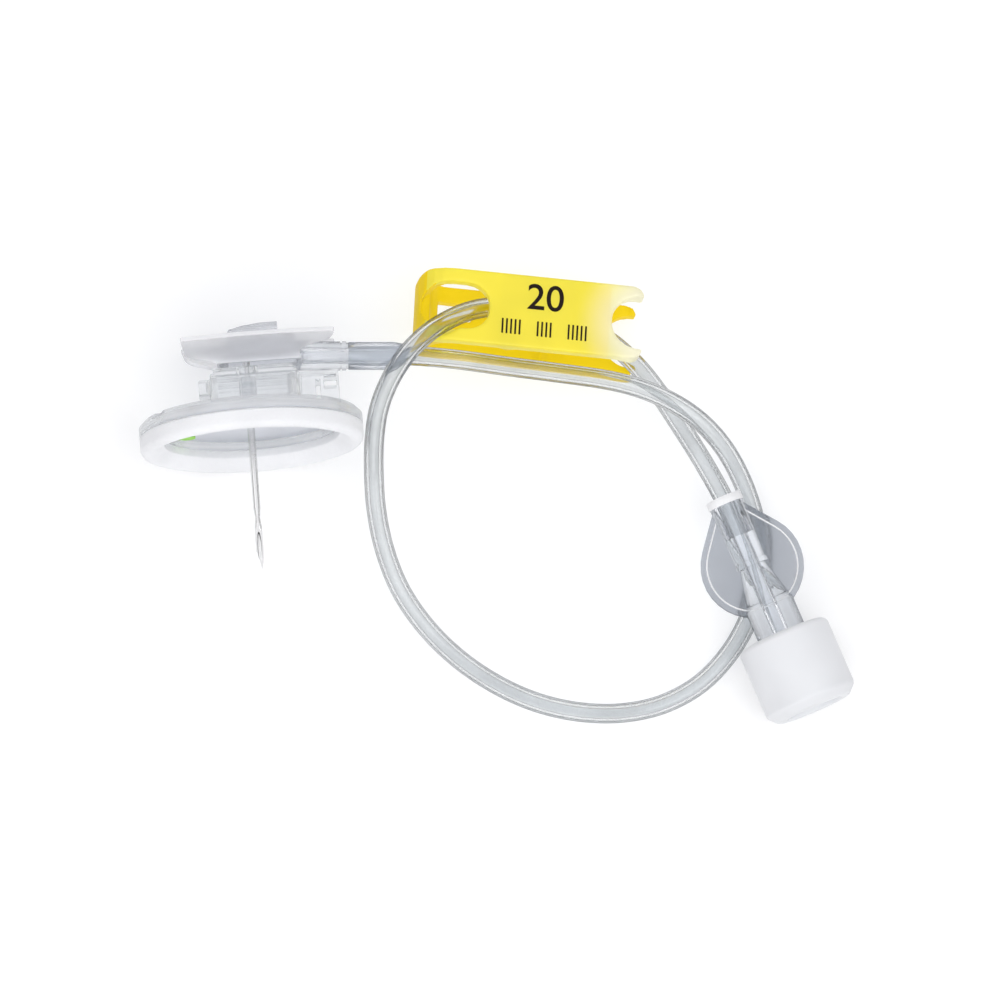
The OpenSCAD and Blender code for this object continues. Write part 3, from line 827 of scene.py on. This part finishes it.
# Painted shade: the deeper yellow inside the clamp and at its end wall.
painted_shade_yellow = clear_finish("painted_shade_yellow", (1.0, 0.72, 0.0), (0.98, 0.96, 0.85), gloss=0.4,
                           unevenness=0.15, bump=0.15, clarity=0.1)
painted_shade_yellow.node_tree.nodes["Principled BSDF"].inputs["Specular IOR Level"].default_value = 0.2
steel = solid_finish("needle_steel", (0.78, 0.78, 0.78), gloss=0.18, Metallic=1.0)
foam = solid_finish("white_pad", (0.91, 0.915, 0.935), scale=2500, gloss=0.7, unevenness=0.25,
                    bump=0.5, Subsurface_Weight=0.15, Subsurface_Scale=0.001,
                    Subsurface_Radius=(1, 1, 1))
white_cap = solid_finish("white_cap", (0.81, 0.82, 0.84), gloss=0.4, Subsurface_Weight=0.2,
                         Subsurface_Scale=0.001, Subsurface_Radius=(1, 1, 1))
green = solid_finish("green_dot", (0.35, 0.75, 0.1), gloss=0.4)
ink = solid_finish("print_ink", (0.012, 0.006, 0.004), gloss=0.6, Specular_IOR_Level=0.2)

FINISHES = {
    clear_hub: [hub], clear_guard: [housing], clear_plate: [plate, guide], clear_tube: [tube],
    clear_sleeve: [sleeve], clear_connector: [connector], frosted: [wings],
    rim_finish: [rim, tab_line], yellow: [clamp], steel: [needle, clip], foam: [pad],
    white_cap: [cap], green: [nodes["size_dot"]], ink: [digits, strokes],
}
for material, pieces in FINISHES.items():
    for piece in pieces:
        piece.data.materials.clear()
        piece.data.materials.append(material)
print(len(FINISHES), "finishes")

# %% [markdown]
# ## A second finish on some faces
# Moulds are often etched in places, so a clear part has matt faces: here the finger tab, and the
# ceiling of the recess round the needle, whose greyer colour is painted shade in the recess. The
# clamp gets a painted deeper yellow inside it and at its end wall, for the shade there and for
# light that has passed its walls twice. Those faces of the same mesh get a second finish. They are
# found by their place in the part's own frame.

# %% Give some faces a second finish
BARREL_R, TAB_BACK, TAB_FRONT, TAB_END = 2.3, -1.6, -0.2, 16
RECESS_FLOOR = 3.0
CLAMP_BEND, CLAMP_TIP = 2, 4


def refinish(piece, finish, own_frame, chosen):
    to_own = own_frame.inverted()
    piece.data.materials.append(finish)
    count = 0
    for face in piece.data.polygons:
        centre = (to_own @ face.center) / MM
        if chosen(centre, to_own.to_3x3() @ face.normal):
            face.material_index = len(piece.data.materials) - 1
            count += 1
    print(f"{piece.name}: {count} faces in {finish.name}")


def on_tab(centre, normal):
    beside_barrel = math.hypot(centre.x, centre.y) > BARREL_R
    return beside_barrel and TAB_BACK < centre.y < TAB_FRONT and centre.z < TAB_END


def on_ceiling(centre, normal):
    return normal.z < -0.9 and centre.z > RECESS_FLOOR


# The faces with the clamp's painted shade: under its upper strap or facing down, and its end wall,
# but not its upper tip.
def clamp_shade_faces(centre, normal):
    under = centre.z < CLAMP_H - STRAP_T or normal.z < -0.5
    end_wall = centre.x < CLAMP_BEND - CLAMP_L / 2 and normal.z < 0.6
    upper_tip = centre.x > CLAMP_L / 2 - CLAMP_TIP and centre.z > CLAMP_H / 2
    return (under or end_wall) and not upper_tip


refinish(connector, tab_finish, on_connector, on_tab)
refinish(plate, ceiling_shade_finish, device, on_ceiling)
refinish(clamp, painted_shade_yellow, on_clamp, clamp_shade_faces)

# %% [markdown]

# %% [markdown]
# ## The floor
# The photograph has a plain white ground. The floor is pale and gives off a little of its own
# brightness to the camera and to glass, so that it reads as white and still takes a soft shadow.

# %% Floor
FLOOR_SIZE, FLOOR_GLOW = 30, 0.2
bpy.ops.object.select_all(action="DESELECT")
bpy.ops.mesh.primitive_plane_add(size=FLOOR_SIZE, location=(0, 0, 0))
floor = bpy.context.object
floor.name = "floor"
material = bpy.data.materials.new("floor_white")
material.use_nodes = True
tree = material.node_tree
shader = tree.nodes["Principled BSDF"]
shader.inputs["Base Color"].default_value = (0.86, 0.86, 0.86, 1)
shader.inputs["Roughness"].default_value = 0.9
path = tree.nodes.new("ShaderNodeLightPath")
seen = path.outputs["Is Camera Ray"]
for ray in ("Is Glossy Ray", "Is Transmission Ray"):
    seen = maths(tree, "MAXIMUM", seen, path.outputs[ray])
glow = maths(tree, "MULTIPLY", seen, FLOOR_GLOW)
shader.inputs["Emission Color"].default_value = (1, 1, 1, 1)
tree.links.new(glow, shader.inputs["Emission Strength"])
floor.data.materials.append(material)

# %% [markdown]
# ## The sky and the lamps
# Clear plastic is drawn by what surrounds it: the sky has a grey band above the horizon, as the
# dark cards round a glass still life, and is bright overhead. Three soft lamps give the highlights
# and the faint shadow under the set.

# %% Sky and lamps
SKY_STRENGTH, SKY_BLUE = 1.15, 1.02
# Height from the horizon to overhead, with the brightness there
SKY_STOPS = [(0.0, 0.95), (0.06, 0.9), (0.12, 0.3), (0.5, 0.32), (0.72, 0.85), (1.0, 0.92)]
world = bpy.data.worlds.new("studio")
bpy.context.scene.world = world
world.use_nodes = True
tree = world.node_tree
spot = tree.nodes.new("ShaderNodeTexCoord")
parts = tree.nodes.new("ShaderNodeSeparateXYZ")
ramp = tree.nodes.new("ShaderNodeValToRGB")
tree.links.new(spot.outputs["Generated"], parts.inputs[0])
tree.links.new(parts.outputs["Z"], ramp.inputs["Fac"])
tree.links.new(ramp.outputs["Color"], tree.nodes["Background"].inputs["Color"])
tree.nodes["Background"].inputs["Strength"].default_value = SKY_STRENGTH
while len(ramp.color_ramp.elements) < len(SKY_STOPS):
    ramp.color_ramp.elements.new(0.5)
for element, (where, level) in zip(ramp.color_ramp.elements, SKY_STOPS):
    element.position = where
    element.color = (level, level, level * SKY_BLUE, 1)

# Name, place, size and power of each
LAMPS = [("key", (0.6, -0.3, 1.1), 0.9, 3.4), ("fill", (-0.7, 0.3, 0.9), 0.8, 0.8),
         ("front", (-0.1, -0.9, 0.4), 0.8, 2.2)]
for name, place_at, size, power in LAMPS:
    bpy.ops.object.light_add(type="AREA", location=place_at)
    lamp = bpy.context.object
    lamp.name = name + "_lamp"
    lamp.data.size = size
    lamp.data.energy = power
    lamp.rotation_euler = Vector(place_at).to_track_quat("Z", "Y").to_euler()
